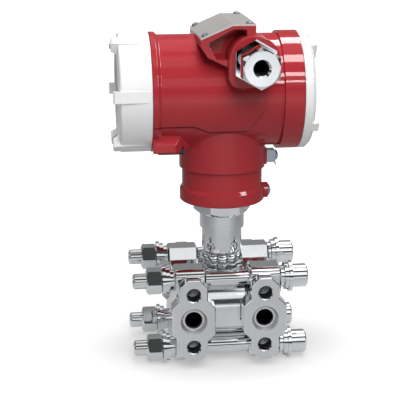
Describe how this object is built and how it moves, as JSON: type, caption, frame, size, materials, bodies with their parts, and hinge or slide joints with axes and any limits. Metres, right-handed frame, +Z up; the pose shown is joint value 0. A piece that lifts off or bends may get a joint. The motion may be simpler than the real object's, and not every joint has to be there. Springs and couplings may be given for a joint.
{
  "type": "differential pressure transmitter",
  "caption": "Differential pressure transmitter: bolted process flanges round a sensor capsule, and a swivelling red housing with screwed white covers, window and cable gland.",
  "frame": {"origin": "on the surface that it stands on, under the neck's axis, midway between the process flanges", "axes": "+Z up along the neck, +X along the flange bolts and the housing towards the terminal cover, process ports face -Y"},
  "size_m": [0.1498, 0.1455, 0.2609],
  "materials": {
    "flange_steel": "bright machined stainless steel, matte on the port faces",
    "stainless": "polished stainless steel",
    "bolt_steel": "bright plated steel",
    "diaphragm": "thin rolled steel",
    "gasket": "white sealing ring",
    "red_paint": "glossy red powder coat on cast aluminium",
    "white_paint": "glossy white powder coat on cast aluminium",
    "plate_steel": "brushed sheet, bare",
    "screw_steel": "bright plated",
    "gland_metal": "nickel-plated brass",
    "black_screw": "blackened steel",
    "rubber": "black rubber",
    "glass": "clear toughened glass",
    "plastic": "black moulded plastic",
    "screen": "grey-green liquid crystal window",
    "brass": "plated brass"
  },
  "bodies": {
    "root": {"process_flange_left": "flange_steel", "process_flange_right": "flange_steel", "sensor_capsule": "stainless", "isolating_diaphragms": "diaphragm", "flange_gaskets": "gasket", "flange_bolts": "bolt_steel", "flange_nuts": "bolt_steel", "flat_washers": "bolt_steel", "spring_washers": "bolt_steel", "sensor_neck": "stainless", "neck_oring": "rubber", "vent_plug_left": "stainless", "vent_plug_right": "stainless"},
    "head": {"housing": "red_paint", "nameplate": "plate_steel", "nameplate_screws": "screw_steel", "swivel_screw": "screw_steel", "ground_clamp": "screw_steel", "ground_washer": "screw_steel", "ground_screw": "screw_steel", "cover_lock_screw": "black_screw", "electronics_module": "plastic", "display_module": "plastic", "display_screen": "screen", "terminal_block": "plastic", "terminal_screws": "brass", "gland_body": "gland_metal", "gland_seal": "rubber", "entry_plug": "gland_metal"},
    "display_cover_travel": {"display_cover_oring": "rubber"},
    "display_cover": {"display_cover": "white_paint", "glass_gasket": "rubber", "display_glass": "glass", "glass_retainer": "plastic"},
    "terminal_cover_travel": {"terminal_cover_oring": "rubber"},
    "terminal_cover": {"terminal_cover": "white_paint"},
    "gland_travel": {"gland_ring": "gland_metal"},
    "gland_nut": {"gland_nut": "gland_metal"},
    "vent_screw_left": {"vent_screw_left": "stainless"},
    "vent_screw_right": {"vent_screw_right": "stainless"}
  },
  "joints": [
    {"name": "head_swivel", "type": "hinge", "parent": "root", "child": "head", "pos_m": [0, 0, 0.13], "axis": [0, 0, 1], "range_deg": [-180, 180]},
    {"name": "display_cover_slide", "type": "slide", "parent": "head", "child": "display_cover_travel", "axis": [-1, 0, 0], "range_m": [0, 0.0106]},
    {"name": "display_cover_turn", "type": "hinge", "parent": "display_cover_travel", "child": "display_cover", "pos_m": [-0.06, 0, 0.2048], "axis": [-1, 0, 0], "range_deg": [0, 2520]},
    {"name": "terminal_cover_slide", "type": "slide", "parent": "head", "child": "terminal_cover_travel", "axis": [1, 0, 0], "range_m": [0, 0.0106]},
    {"name": "terminal_cover_turn", "type": "hinge", "parent": "terminal_cover_travel", "child": "terminal_cover", "pos_m": [0.06, 0, 0.2048], "axis": [1, 0, 0], "range_deg": [0, 2520]},
    {"name": "gland_nut_slide", "type": "slide", "parent": "head", "child": "gland_travel", "axis": [0, -1, 0], "range_m": [0, 0.0076]},
    {"name": "gland_nut_turn", "type": "hinge", "parent": "gland_travel", "child": "gland_nut", "pos_m": [0.0166, -0.075, 0.2333], "axis": [0, -1, 0], "range_deg": [0, 1800]},
    {"name": "vent_screw_left_turn", "type": "hinge", "parent": "root", "child": "vent_screw_left", "pos_m": [-0.027, 0.06, 0.039], "axis": [0, 1, 0], "range_deg": [0, 180]},
    {"name": "vent_screw_right_turn", "type": "hinge", "parent": "root", "child": "vent_screw_right", "pos_m": [0.027, 0.06, 0.039], "axis": [0, 1, 0], "range_deg": [0, 180]}
  ],
  "couplings": [
    {"joint": "display_cover_slide", "follows": "display_cover_turn", "m_per_rad": 0.00023873},
    {"joint": "terminal_cover_slide", "follows": "terminal_cover_turn", "m_per_rad": 0.00023873},
    {"joint": "gland_nut_slide", "follows": "gland_nut_turn", "m_per_rad": 0.00023873}
  ]
}
